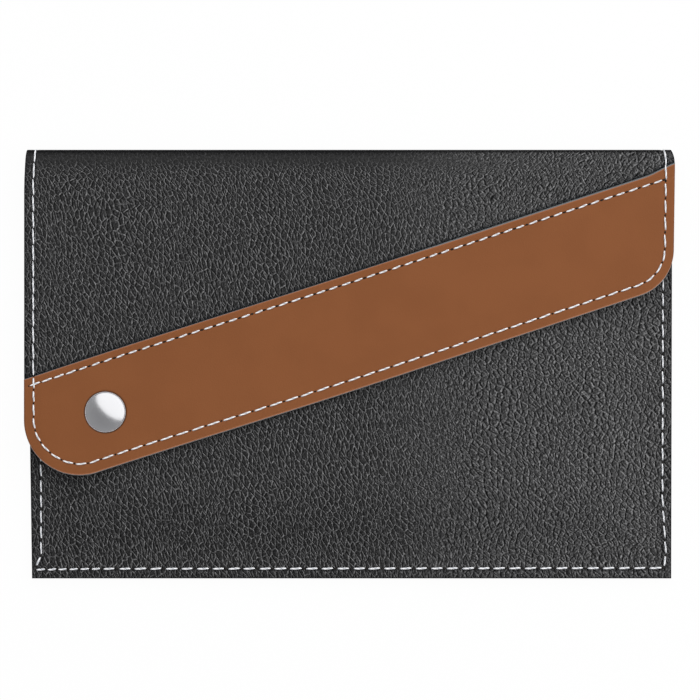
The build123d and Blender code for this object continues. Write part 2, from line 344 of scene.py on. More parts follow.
def cover_point(x, run, depth):
    """A point at x, a run along the cover's outer face and a depth below it, in millimetres."""
    angle = np.clip((run - BACK_RUN) / FOLD_RADIUS, 0, np.pi) - np.pi / 2
    past = np.maximum(run - BACK_RUN - FOLD_RUN, 0)
    before = np.minimum(run - BACK_RUN, 0)
    y = FOLD_Y + before - past + (FOLD_RADIUS - depth) * np.cos(angle)
    z = FOLD_RADIUS + (FOLD_RADIUS - depth) * np.sin(angle)
    x = x + smooth((run - FOLD_MIDDLE) * 2 / FOLD_RUN) * lean(x, y)
    return np.stack(np.broadcast_arrays(x, y, z), -1)


def band_edge_run(x):
    """How far along the cover the band's upper edge lies."""
    return FOLD_END + FOLD_Y - band_top_at(x)


def cover_rows(x):
    """Runs along the cover for each grid row: even up to the fold, crowded at the band's edge."""
    back = np.concatenate([EDGE_LINES, spaced(EDGE_DEEP, BACK_RUN - BACK_GAP, COARSE_STEP)])
    fold = spaced(BACK_RUN - FOLD_LEAD, FOLD_END + FOLD_TAIL, FOLD_STEP)
    fixed = np.concatenate([back, fold])[:, None] + 0 * x
    edge = band_edge_run(x)
    share = 1 - (1 - np.linspace(0, 1, UPPER_ROWS)[1:, None]) ** 2
    upper = fold[-1] + share * (edge - fold[-1])
    end = FOLD_END + FOLD_Y - flap_end_at(x)
    last = end - SEAM_LINES[::-1][:, None]
    share = np.linspace(0, 1, UNDER_ROWS)[1:-1, None]
    under = edge + share * (last[0] - edge)
    return np.concatenate([fixed, upper, under, last])


def fold_pull(side, run):
    """How far each side of the sheet is drawn in at the fold, falling off to both sides of it."""
    reach = PULL_LEFT_RUN if side < 0 else PULL_RIGHT_RUN
    return PULL * smooth(1 - np.abs(run - FOLD_MIDDLE) / reach)


def pulled(x, run):
    """x drawn in at the fold, in proportion to the distance from the wallet's middle."""
    pull = np.where(x < 0, fold_pull(-1, run), fold_pull(1, run))
    return x * (1 - pull / HALF)


def cover_grid():
    """x, run and inset of every grid point of the cover."""
    x = columns()
    run = cover_rows(x)
    across = np.broadcast_to(x, run.shape)
    on_back = run < BACK_RUN
    back_y = np.minimum(BOTTOM + run, FOLD_Y)
    flap_y = FOLD_Y - np.maximum(run - FOLD_END, 0)
    across = np.where(on_back, pouch_x(across, back_y), across)
    inset = np.where(on_back, pouch_inset(across, back_y), flap_inset(across, flap_y))
    return pulled(across, run), run, inset


GROOVE_DEEP = 0.16
GROOVE_WIDE = 0.55
SIDE_ROW = 3.4
PRESS_WIDE = 0.9
PRESS_DEEP = 0.25
FOLD_REACH = 12.0
SQUEEZE = 1.2
SQUEEZE_RUN = 5.0


def groove(inset, row, deep=GROOVE_DEEP):
    """The dip that a row of stitches presses into a sheet, as a bell curve across the row."""
    return deep * np.exp(-(((inset - row) / GROOVE_WIDE) ** 2))


def grain_run(x, run):
    """The run that the grain follows: drawn closer just below the fold, less so at the right."""
    past = np.maximum(run - FOLD_END, 0)
    share = 1 - smooth(2 * flap_share(x) - 1)
    return run - share * SQUEEZE * SQUEEZE_RUN * np.exp(-past / SQUEEZE_RUN)


def make_cover():
    """The leathercloth sheet, with rounded edges and dips under the side rows and beside the band."""
    x, run, inset = cover_grid()
    half = SKIN / 2 * rim_share(inset)
    # The sheet dips beside the band's upper edge, and the leather material paints a shadow along that dip
    dip_and_shadow = np.exp(-(((run - band_edge_run(x)) / PRESS_WIDE) ** 2))
    fold = np.clip(1 - np.abs(run - FOLD_MIDDLE) / FOLD_REACH, 0, 1)
    dip = groove(inset, SIDE_ROW) + PRESS_DEEP * dip_and_shadow
    outer = cover_point(x, run, SKIN / 2 - half + dip)
    inner = cover_point(x, run, SKIN / 2 + half)
    uv = np.stack([x, -grain_run(x, run)], -1)
    obj = slab("cover_sheet", outer, inner, uv, inset, {"dip_and_shadow": dip_and_shadow, "fold": fold})
    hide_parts("back_skin", "flap_skin")
    return obj, flat_area(np.stack([x, -run], -1)), run.max()


cover, cover_area, cover_length = make_cover()
print(f"cover cut flat: {2 * HALF:.0f} x {cover_length:.1f} mm, {cover_area:.4f} square metres")

# %% [markdown]
# ## The cover's lining
# A thin woven sheet follows the same path inside the cover. On the back it lies over a stiff board,
# so it steps down a short ramp just before the fold.

# %% The cover's lining
BOARD_END = FOLD_Y - 8.0
RAMP = 3.0
LINING_MARGIN = 0.5


def make_cover_lining():
    """The lining of back, fold and flap: the cover's grid, at the depth of the layers below it."""
    x, run, inset = cover_grid()
    lift = BOARD * (1 - smooth((BOTTOM + run - BOARD_END) / RAMP))
    pull = LINING_MARGIN / HALF
    half = LINING / 2 * rim_share(inset, LINING / 2)
    depth = SKIN + LINING / 2 + lift
    outer = cover_point(x * (1 - pull), run, depth - half)
    inner = cover_point(x * (1 - pull), run, depth + half)
    uv = np.stack([x, -run], -1)
    obj = slab("cover_lining", outer, inner, uv, inset)
    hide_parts("back_lining", "flap_lining")
    return obj, flat_area(uv)


lining, lining_area = make_cover_lining()

# %% [markdown]
# ## The front panel
# The front is sewn flat to the back along three edges and crowns up over the pocket, with a round
# dimple where the stud is set. The surface is a smooth step up from the seam, less the dimple.

# %% The front panel and its lining
MARGIN = 4.5
SLOPE = 28.0
DIMPLE_FLAT = 7.5
DIMPLE_RUN = 9.0
DIMPLE_DEEP = 2.85
FRONT_ROW = 3.4
MOUTH_GAP = 6.0


def front_height(x, y, inset):
    """The front's outer face: a smooth rise in from the seam, less the stud's dimple."""
    rise = (PLATEAU - SEAM_TOP) * smooth((inset - MARGIN) / SLOPE)
    radius = np.hypot(x - CAP_X, y - CAP_Y)
    dimple = DIMPLE_DEEP * (1 - smooth((radius - DIMPLE_FLAT) / DIMPLE_RUN))
    return SEAM_TOP + np.minimum(rise, PLATEAU - SEAM_TOP - dimple)


def front_grid():
    """x, y and inset of the front panel's grid, whose rows crowd at its bottom edge and its mouth."""
    x = columns()
    low = np.concatenate([EDGE_LINES, spaced(EDGE_DEEP, MOUTH - BOTTOM - MOUTH_GAP, COARSE_STEP)]) + BOTTOM
    high = MOUTH - SEAM_LINES[::-1]
    y = np.concatenate([low, high])[:, None]
    across = pouch_x(np.broadcast_to(x, (len(y), len(x))), y)
    up = np.broadcast_to(y, across.shape)
    return across, up, pouch_inset(across, up)


def make_front(name, node, top, thick, row, margin=0.0):
    """One sheet of the front: the panel's face lowered to the sheet, and as thick as it all over."""
    x, y, inset = front_grid()
    rim = np.minimum(inset, MOUTH - y)
    half = thick / 2 * rim_share(rim, min(RIM, thick / 2))
    middle = front_height(x, y, inset) - top - thick / 2
    x = x * (1 - margin / HALF)
    outer = np.stack([x, y, middle + half - row * groove(inset, FRONT_ROW)], -1)
    inner = np.stack([x, y, middle - half], -1)
    uv = np.stack([x, y], -1)
    obj = slab(name, outer, inner, uv, rim)
    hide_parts(node)
    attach(obj, "pouch")
    return obj, flat_area(uv)


front, front_area = make_front("front_panel", "front_skin", 0.0, SKIN, 1)
front_lining, _ = make_front(
    "front_panel_lining", "front_lining", SKIN, LINING, 0, LINING_MARGIN
)

# %% [markdown]
# ## The band
# A smooth strip is stitched on the flap's end. Its top edges are pared round, and a painted highlight
# keeps its cut edge paler than its face.

# %% The band
BAND_RIM = 0.45
BAND_GROOVE = 0.12
TOP_ROW_LEFT = 2.9
TOP_ROW_RIGHT = 3.5
END_ROW_LEFT = 4.3
END_ROW_RIGHT = 3.9
PRESS_RING = 0.35
RING_STEP = 0.3
RING_REACH = 9.0
BAND_ROWS = 110


def band_grid():
    """x, y and inset of the band's grid: columns from the flap's end up to the band's upper edge."""
    ring = spaced(CAP_X - RING_REACH, CAP_X + RING_REACH, RING_STEP)
    x = columns()
    x = np.sort(np.concatenate([x[np.abs(x - CAP_X) > RING_REACH + RING_STEP], ring]))
    low = flap_end_at(x)
    high = band_top_at(x)
    up = low + SEAM_LINES[:, None]
    down = high - SEAM_LINES[::-1][:, None]
    share = np.linspace(0, 1, BAND_ROWS)[1:-1, None]
    y = np.concatenate([up, up[-1] + share * (down[0] - up[-1]), down])
    across = np.broadcast_to(x, y.shape)
    square = steep(band_slope(x))
    upper = (high - y) / square
    lower = (y - low) / square
    return across, y, np.minimum(flap_inset(across, y), upper), upper, lower


def top_row_at(x):
    """The height of the upper row of stitches, which lies square in from the band's line."""
    return band_line_at(x) - across_flap(TOP_ROW_LEFT, TOP_ROW_RIGHT, x) * steep(band_slope(x))


def end_row_inset(x):
    """How far the lower row of stitches lies in from the band's lower edge."""
    return across_flap(END_ROW_LEFT, END_ROW_RIGHT, x)


def make_band():
    """The band: flat below, with a rounded upper rim and grooves under its rows."""
    x, y, inset, upper, lower = band_grid()
    top = FLAP_TOP + (BAND_TOP - FLAP_TOP) * rim_share(inset, BAND_RIM)
    top = top - groove(flap_inset(x, y), end_row_inset(x), BAND_GROOVE)
    top = top - groove(top_row_at(x) - y, 0.0, BAND_GROOVE)
    # The band dips in a ring round the cap, and the brown material paints a shadow along that ring
    dip_and_shadow = np.exp(-(((np.hypot(x - CAP_X, y - CAP_Y) - CAP_RADIUS) / PRESS_RING) ** 2))
    leaned = x + lean(x, y)
    outer = np.stack([leaned, y, top - PRESS_DEEP * dip_and_shadow], -1)
    inner = np.stack([leaned, y, np.full_like(x, FLAP_TOP)], -1)
    uv = np.stack([x, y], -1)
    obj = slab("band_sheet", outer, inner, uv, inset, {"dip_and_shadow": dip_and_shadow, "upper": upper, "lower": lower})
    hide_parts("band")
    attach(obj, "flap")
    return obj, flat_area(uv)


band, band_area = make_band()

# %% [markdown]
# ## Stitches
# Every row is a line on a sheet, cut into stitches. A stitch is a short tube that comes up out of
# one needle hole, lies on the sheet and dives into the next, turned a few degrees off the row.

# %% Stitch maker
THREAD = 0.33
FINE_THREAD = 0.32
COARSE_THREAD = 0.37
STATIONS = np.linspace(-1, 1, 9)
SIDES = 6
SLANT = -0.13
TAPER = 0.5
TAPER_POWER = 4
SHARE = 0.74
LIFT = 0.14
DIVE = 0.5
DIVE_POWER = 6
LOOSE = 4
PLACE_SPREAD = 0.02
LENGTH_SPREAD = 0.04
TURN_SPREAD = 0.3
NEAR = 0.1
random = np.random.default_rng(7)


def along(path, normals, places):
    """Points and normals at distances along a path of points."""
    run = np.concatenate([[0], np.cumsum(np.linalg.norm(np.diff(path, axis=0), axis=1))])
    spots = np.stack([np.interp(places, run, path[:, k]) for k in range(3)], -1)
    facing = np.stack([np.interp(places, run, normals[:, k]) for k in range(3)], -1)
    return spots, unit(facing)


def unit(vectors):
    """Vectors scaled to a length of one."""
    return vectors / np.linalg.norm(vectors, axis=-1, keepdims=True)


def path_length(path):
    """The length of a path of points."""
    return np.linalg.norm(np.diff(path, axis=0), axis=1).sum()


def row_of_stitches(path, normals, pitch, share=SHARE, lift=LIFT, radius=THREAD, dive=DIVE):
    """Centre lines of the stitches along a path, and the needle holes in the gaps between them."""
    length = path_length(path)
    count = max(1, round(length / pitch))
    step = length / count
    loose = (1 - share) * LOOSE
    middle = (np.arange(count) + 0.5) * step + random.normal(0, PLACE_SPREAD, count) * step * loose
    reach = step * share / 2 * (1 + random.normal(0, LENGTH_SPREAD, count) * loose)
    places = middle[:, None] + reach[:, None] * STATIONS
    spots, facing = along(path, normals, places)
    side = unit(np.cross(np.gradient(spots, axis=1), facing))
    height = lift - (lift + dive) * np.abs(STATIONS) ** DIVE_POWER
    aside = SLANT * STATIONS * (1 + TURN_SPREAD * random.normal(0, 1, count)[:, None])
    spots = spots + height[:, None] * facing + aside[..., None] * side
    edges = np.arange(count + 1) * step
    holes, hole_facing = along(path, normals, edges)
    ahead = along(path, normals, edges + NEAR)[0] - along(path, normals, edges - NEAR)[0]
    gap = np.full(count + 1, (1 - share) * step / 2)
    return {"centre": spots, "facing": facing, "radius": np.full(count, radius),
            "holes": holes, "hole_facing": hole_facing, "hole_run": unit(ahead), "gap": gap}


def open_ended(row):
    """A row without its last needle hole, where its thread runs on into another row."""
    return {**row, **{key: row[key][:-1] for key in ("holes", "hole_facing", "hole_run", "gap")}}


def gather(rows, key):
    """One array of a value from several rows."""
    return np.concatenate([row[key] for row in rows])


def make_thread(name, rows, nodes):
    """One mesh of all the stitches in some rows: rings of points round each centre line."""
    centre = gather(rows, "centre")
    radius = gather(rows, "radius")[:, None] * (1 - TAPER * np.abs(STATIONS) ** TAPER_POWER)
    run = unit(np.gradient(centre, axis=1))
    side = unit(np.cross(run, gather(rows, "facing")))
    up = np.cross(side, run)
    turn = np.arange(SIDES) / SIDES * 2 * np.pi
    ring = np.cos(turn)[:, None] * side[:, :, None] + np.sin(turn)[:, None] * up[:, :, None]
    points = centre[:, :, None] + radius[:, :, None, None] * ring
    count, stations = centre.shape[:2]
    number = np.arange(count * stations * SIDES).reshape(count, stations, SIDES)
    wrap = np.concatenate([number, number[:, :, :1]], 2)
    faces = grid_faces(wrap).tolist() + number[:, 0, ::-1].tolist() + number[:, -1].tolist()
    length = np.linalg.norm(centre[:, -1] - centre[:, 0], axis=-1)[:, None, None] / 2
    uv_along = np.broadcast_to(STATIONS[None, :, None] * length, number.shape)
    uv_round = np.broadcast_to(turn / (2 * np.pi), number.shape)
    uv = np.stack([uv_round, uv_along], -1).reshape(-1, 2)
    obj = new_object(name, points.reshape(-1, 3), faces, uv)
    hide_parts(*nodes)
    print(f"{name}: {count} stitches")
    return obj


HOLE_WIDE = 0.34
HOLE_THICK = 0.04
HOLE_SIDES = 8


def make_holes(name, rows):
    """Needle holes: a small dark lens of painted shade in each gap, longer along the row than across it.
    """
    spots = gather(rows, "holes")
    facing = gather(rows, "hole_facing")
    ahead = gather(rows, "hole_run")
    side = np.cross(facing, ahead)
    turn = np.arange(HOLE_SIDES) / HOLE_SIDES * 2 * np.pi
    long = gather(rows, "gap")[:, None, None] * np.cos(turn)[:, None] * ahead[:, None]
    ring = spots[:, None] + long + HOLE_WIDE * np.sin(turn)[:, None] * side[:, None]
    tip = HOLE_THICK * facing[:, None]
    points = np.concatenate([ring, spots[:, None] + tip, spots[:, None] - tip], 1)
    number = np.arange(points.shape[0] * points.shape[1]).reshape(points.shape[:2])
    edge = number[:, :HOLE_SIDES]
    after = np.roll(edge, -1, 1)
    top = np.broadcast_to(number[:, -2:-1], edge.shape)
    low = np.broadcast_to(number[:, -1:], edge.shape)
    fans = np.concatenate([np.stack([edge, after, top], -1), np.stack([after, edge, low], -1)])
    return new_object(name, points.reshape(-1, 3), fans.reshape(-1, 3).tolist())


# %% [markdown]
# ## The seams
# The pouch is sewn round three sides. Its row wanders a little at the two lower corners, as in the
# photograph. The flap's side rows run on over the fold and down the back's edges.

# %% Rows round the pouch
UP = np.array([0.0, 0.0, 1.0])
EDGE_PITCH = 5.75
SHORT_PITCH = 4.3
SIDE_PITCH = 6.2
FOLD_PITCH = 8.0
BAND_PITCH = 4.85
CORNER_PITCH = 5.0
END_PITCH = 5.95
SEAM_SHARE = 0.78
LONG_SHARE = 0.86
SEAM_START = 1.0


def flat_path(points, z):
    """A level path through some points, and its normals."""
    xy = np.array(points, float)
    path = np.concatenate([xy, np.full((len(xy), 1), z)], 1)
    return path, np.broadcast_to(UP, path.shape)


def pouch_row(points, pitch, share=SEAM_SHARE, radius=COARSE_THREAD):
    """A level row on the pouch's seam."""
    return row_of_stitches(*flat_path(points, SEAM_TOP), pitch, share, radius=radius)


left_top = (pouch_x(-HALF, MOUTH) + FRONT_ROW, MOUTH - SEAM_START)
left_low = (-114.3, -71.1)
right_top = (pouch_x(HALF, MOUTH) - FRONT_ROW, MOUTH - SEAM_START)
right_low = (117.6, -70.8)
bottom_turn = (-92.0, -75.9)
pouch_rows = [
    pouch_row([left_top, (-114.35, -40.0), left_low], EDGE_PITCH, LONG_SHARE, FINE_THREAD),
    pouch_row([left_low, (-116.2, -75.0)], EDGE_PITCH),
    pouch_row([(-116.4, -76.2), bottom_turn], SHORT_PITCH),
    pouch_row([bottom_turn, (0.0, -75.8), (116.6, -75.6)], EDGE_PITCH),
    pouch_row([(116.7, -75.4), right_low], EDGE_PITCH),
    pouch_row([right_low, (116.3, -50.0), right_top], EDGE_PITCH, LONG_SHARE, FINE_THREAD),
]
pouch_thread = make_thread("pouch_stitches", pouch_rows, ["pouch_seam_thread"])
pouch_holes = make_holes("pouch_needle_holes", pouch_rows)
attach(pouch_thread, "pouch")
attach(pouch_holes, "pouch")

# %% [markdown]
# ## Side rows
# The left row is three rows end to end, one each for the flap, the fold and the back, because their
# stitches differ in length. The lower threads show inside, on the lining.

# %% Rows along the flap's sides, over the fold and down the back
PATH_STEP = 0.4
BACK_START = 3.4
FOLD_START = BACK_RUN + 1.8
BACK_LIFT = -0.32
FOLD_LIFT = 0.0
FLAT_DIVE = 0.15
FLAP_SHARE = 0.96
FOLD_SHARE = 1.0
BACK_SHARE = 0.8
UNDER = SKIN + LINING
UNDER_LIFT = -0.05
UNDER_THREAD = 0.25
UNDER_SHARE = 0.85


def side_path(side, start, stop, depth=0.0):
    """A path along one side of the cover at a depth below its outer face, with that face's normals."""
    run = spaced(start, stop, PATH_STEP)
    y = np.minimum(BOTTOM + run, FOLD_Y)
    x = pouch_x(np.full_like(run, side * HALF), y) - side * SIDE_ROW
    if side < 0:
        x = pulled(x, run)
    path = cover_point(x, run, depth)
    return path, path - cover_point(x, run, depth + 1.0)


def side_row(side, start, stop, pitch, share, lift=LIFT, dive=DIVE):
    """A side row at one edge of the cover, from one run along it to another."""
    path, normals = side_path(side, start, stop)
    return row_of_stitches(path, normals, pitch, share, lift=lift, radius=FINE_THREAD, dive=dive)


def under_row(path, normals, pitch):
    """The lower thread of a row, where it shows on the lining's inner face."""
    return row_of_stitches(path, -normals, pitch, UNDER_SHARE, lift=UNDER_LIFT, radius=UNDER_THREAD)


left_band = band_edge_run(-HALF + SIDE_ROW)
right_band = band_edge_run(HALF - SIDE_ROW)
side_rows = [
    side_row(-1, FOLD_END, left_band, SIDE_PITCH, FLAP_SHARE, LIFT, FLAT_DIVE),
    side_row(-1, FOLD_START, FOLD_END, FOLD_PITCH, FOLD_SHARE, FOLD_LIFT, FLAT_DIVE),
    side_row(1, FOLD_START, right_band, FOLD_PITCH, FOLD_SHARE, FOLD_LIFT, FLAT_DIVE),
    *(side_row(side, BACK_START, FOLD_START, SIDE_PITCH, BACK_SHARE, BACK_LIFT) for side in (-1, 1)),
    under_row(*side_path(-1, FOLD_END, left_band, UNDER), SIDE_PITCH),
]
cover_thread = make_thread("cover_stitches", side_rows, ["back_edge_thread", "flap_edge_thread"])
cover_holes = make_holes("cover_needle_holes", [open_ended(row) for row in side_rows[:3]])

# %% [markdown]
# ## Rows on the band
# One row runs along the band's upper edge and one round the flap's free edge. Both are cut where
# the photograph shows the spacing change, and each stretch has its own pitch.

# %% Rows on the band
SIDE_POINTS = 20
CORNER_POINTS = 60
LEAD_POINTS = 20
END_POINTS = 400
ROW_POINTS = 300
LEFT_ROW = 3.65
CORNER_CUT = 0.45
CORNER_SHARE = 0.84
ROW_LAP = 0.8
END_START = -91.5
END_CUTS = (-70.4, 4.4, 53.8, 85.3)
END_PITCHES = (5.6, 6.05, 5.8, 5.55, 5.05)
END_SHARE = 0.85
TOP_START = -118.1
TOP_CUT = -100.4
TOP_STOP = 116.0
TOP_CLOSE_SHARE = 0.92
TOP_LONG_SHARE = 0.71


def band_path(x, y):
    """A level path on the band's face, leaning with the flap's right side."""
    return flat_path(np.stack([x + lean(x, y), y], -1), BAND_TOP)


def corner_path(corner, turn, inset):
    """Points round a corner's circle, at an inset that may change along it."""
    cx, cy, _, radius = corner
    return np.stack([cx + (radius - inset) * np.cos(turn), cy + (radius - inset) * np.sin(turn)], -1)


def band_side(side, row, start, stop):
    """Points straight up or down one side of the band, at the inset of its row."""
    y = np.linspace(start, stop, SIDE_POINTS)
    return np.stack([np.full_like(y, side * (HALF - row)), y], -1)


def band_edge_paths():
    """Three paths round the flap's free edge: its left corner, its end and its right side."""
    left_lean, right_lean = (np.arctan(corner[2]) for corner in CORNERS)
    left_end, right_end = (end_row_inset(corner[0]) for corner in CORNERS)
    share = np.linspace(0, 1, CORNER_POINTS)
    left_inset = LEFT_ROW + (left_end - LEFT_ROW) * share + CORNER_CUT * np.sin(np.pi * share) ** 2
    right_inset = right_end + (SIDE_ROW - right_end) * share
    left = corner_path(CORNERS[0], np.linspace(np.pi, 1.5 * np.pi + left_lean, CORNER_POINTS), left_inset)
    right = corner_path(CORNERS[1], np.linspace(right_lean - np.pi / 2, 0, CORNER_POINTS), right_inset)
    lead = np.linspace(left[-1, 0], END_START, LEAD_POINTS)
    x = np.concatenate([lead, np.linspace(END_START, right[0, 0], END_POINTS)])
    y = band_low_at(x) + end_row_inset(x) * steep(band_slope(x))
    straight = np.stack([x, y], -1)
    down = band_side(-1, LEFT_ROW, band_top_at(-HALF + LEFT_ROW), left[0, 1])[:-1]
    up = band_side(1, SIDE_ROW, right[-1, 1], band_top_at(HALF - SIDE_ROW) + ROW_LAP)
    corner = np.concatenate([down, left, straight[1:LEAD_POINTS]])
    end = np.concatenate([straight[LEAD_POINTS:], right[1:]])
    return [band_path(*points.T) for points in (corner, end, up)]


def cut_path(path, normals, places):
    """A path that runs to the right, cut at some x, with the normals of each stretch."""
    cuts = [0, *np.searchsorted(path[:, 0], places), len(path) - 1]
    return [(path[a:b + 1], normals[a:b + 1]) for a, b in zip(cuts, cuts[1:])]


def band_top_path(start, stop):
    """The path of the upper row between two x, just below the band's upper edge."""
    x = np.linspace(start, stop, ROW_POINTS)
    return band_path(x, top_row_at(x))


def below_band(path, normals):
    """A row's path on the band moved down to the lining's inner face."""
    return path - (BAND_TOP - FLAP_TOP + UNDER) * UP, normals


corner_row, end_row, up_row = band_edge_paths()
stretches = zip(cut_path(*end_row, END_CUTS), END_PITCHES)
edge_rows = [
    open_ended(row_of_stitches(*corner_row, CORNER_PITCH, CORNER_SHARE)),
    *(open_ended(row_of_stitches(*stretch, pitch, END_SHARE)) for stretch, pitch in stretches),
    open_ended(row_of_stitches(*up_row, SIDE_PITCH, CORNER_SHARE, radius=FINE_THREAD)),
]
close_row = band_top_path(TOP_START, TOP_CUT)
long_row = band_top_path(TOP_CUT, TOP_STOP)
top_rows = [
    row_of_stitches(*close_row, SHORT_PITCH, TOP_CLOSE_SHARE),
    row_of_stitches(*long_row, BAND_PITCH, TOP_LONG_SHARE),
]
edge_under = [under_row(*below_band(*row), END_PITCH) for row in (corner_row, end_row, up_row)]
top_under = [under_row(*below_band(*row), BAND_PITCH) for row in (close_row, long_row)]
band_edge = make_thread("band_edge_stitches", edge_rows + edge_under, ["band_edge_thread"])
band_top = make_thread("band_top_stitches", top_rows + top_under, ["band_top_thread"])
band_holes = make_holes("band_needle_holes", edge_rows + top_rows)
for piece in (band_edge, band_top, band_holes):
    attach(piece, "flap")

# %% [markdown]
# ## Row along the mouth
# The hem row takes its height from the front panel's face, and its normals from that face's slope.

# %% Row along the pocket's mouth
x = np.linspace(-HALF + MOUTH_GAP, HALF - MOUTH_GAP, ROW_POINTS)
mouth_y = np.full_like(x, MOUTH - FRONT_ROW)
mouth_z = front_height(x, mouth_y, pouch_inset(x, mouth_y))
mouth_path = np.stack([x, mouth_y, mouth_z], -1)
slope = np.gradient(mouth_z, x)
mouth_normals = np.stack([-slope, 0 * slope, 1 + 0 * slope], -1)
mouth_rows = [row_of_stitches(mouth_path, mouth_normals, EDGE_PITCH)]
mouth_thread = make_thread("mouth_stitches", mouth_rows, ["mouth_thread"])
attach(mouth_thread, "pouch")

# %% [markdown]
# ## The press stud's cap
# The cap is a turned piece: a shallow dome, a fine step and a rolled rim that sits on the band.

# %% The cap
RIM_ROLL = 0.1
DOME_EDGE = CAP_RADIUS - 2 * RIM_ROLL
RIM_TOP = BAND_TOP + 2 * RIM_ROLL
DOME_RISE = CAP_TOP - RIM_TOP
SPHERE = (DOME_EDGE**2 + DOME_RISE**2) / (2 * DOME_RISE)
DOME_POINTS = 22
ROLL_POINTS = 13
ROLL_FROM = 150
ROLL_TO = -90


def cap_profile():
    """Radius and height down the cap: a spherical dome, a small step, a rolled rim, a flat base."""
    r = np.linspace(0, DOME_EDGE, DOME_POINTS)[1:]
    dome = np.stack([r, CAP_TOP - SPHERE + np.sqrt(SPHERE**2 - r**2)], -1)
    turn = np.radians(np.linspace(ROLL_FROM, ROLL_TO, ROLL_POINTS))
    centre = CAP_RADIUS - RIM_ROLL
    roll = np.stack([centre + RIM_ROLL * np.cos(turn), BAND_TOP + RIM_ROLL * (1 + np.sin(turn))], -1)
    return np.concatenate([dome, roll])


def make_cap(segments=96):
    """The cap's profile turned about its axis, closed at the crown and across the base."""
    profile = cap_profile()
    turn = np.arange(segments) / segments * 2 * np.pi
    round_x = CAP_X + profile[:, :1] * np.cos(turn)
    round_y = CAP_Y + profile[:, :1] * np.sin(turn)
    points = np.stack([round_x, round_y, np.broadcast_to(profile[:, 1:], round_x.shape)], -1)
    number = np.arange(points.shape[0] * segments).reshape(-1, segments)
    wrap = np.concatenate([number, number[:, :1]], 1)
    quads = grid_faces(wrap)[:, ::-1]
    crown = len(number) * segments
    points = np.concatenate([points.reshape(-1, 3), [[CAP_X, CAP_Y, CAP_TOP]]])
    fan = np.stack([wrap[0, :-1], wrap[0, 1:], np.full(segments, crown)], -1)
    faces = quads.tolist() + fan.tolist() + [number[-1, ::-1].tolist()]
    obj = new_object("stud_cap", points, faces)
    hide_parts("snap_cap")
    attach(obj, "flap")
    return obj


cap = make_cap()

# %% [markdown]
# ## At the fold
# The cover, its lining and its side rows cross the hinge. Their placements are baked into their points.

for piece in (cover, lining, cover_thread, cover_holes):
    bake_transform(piece)

print(f"front cut flat: {front_area:.4f} square metres, band: {band_area:.4f} square metres")

# %% [markdown]
# ## Materials
# All finishes are built from nodes, with no pictures.


# %% Material helpers
def new_material(name, color, roughness, metallic=0.0):
    """A material with one Principled shader, its node tree and that shader."""
    made = bpy.data.materials.new(name)
    made.use_nodes = True
    shader = made.node_tree.nodes["Principled BSDF"]
    t = Tree(made.node_tree)
    t.feed(shader, {"Base Color": (*color, 1), "Roughness": roughness, "Metallic": metallic})
    return made, t, shader


def dress(obj, made):
    """Gives an object one material."""
    obj.data.materials.clear()
    obj.data.materials.append(made)


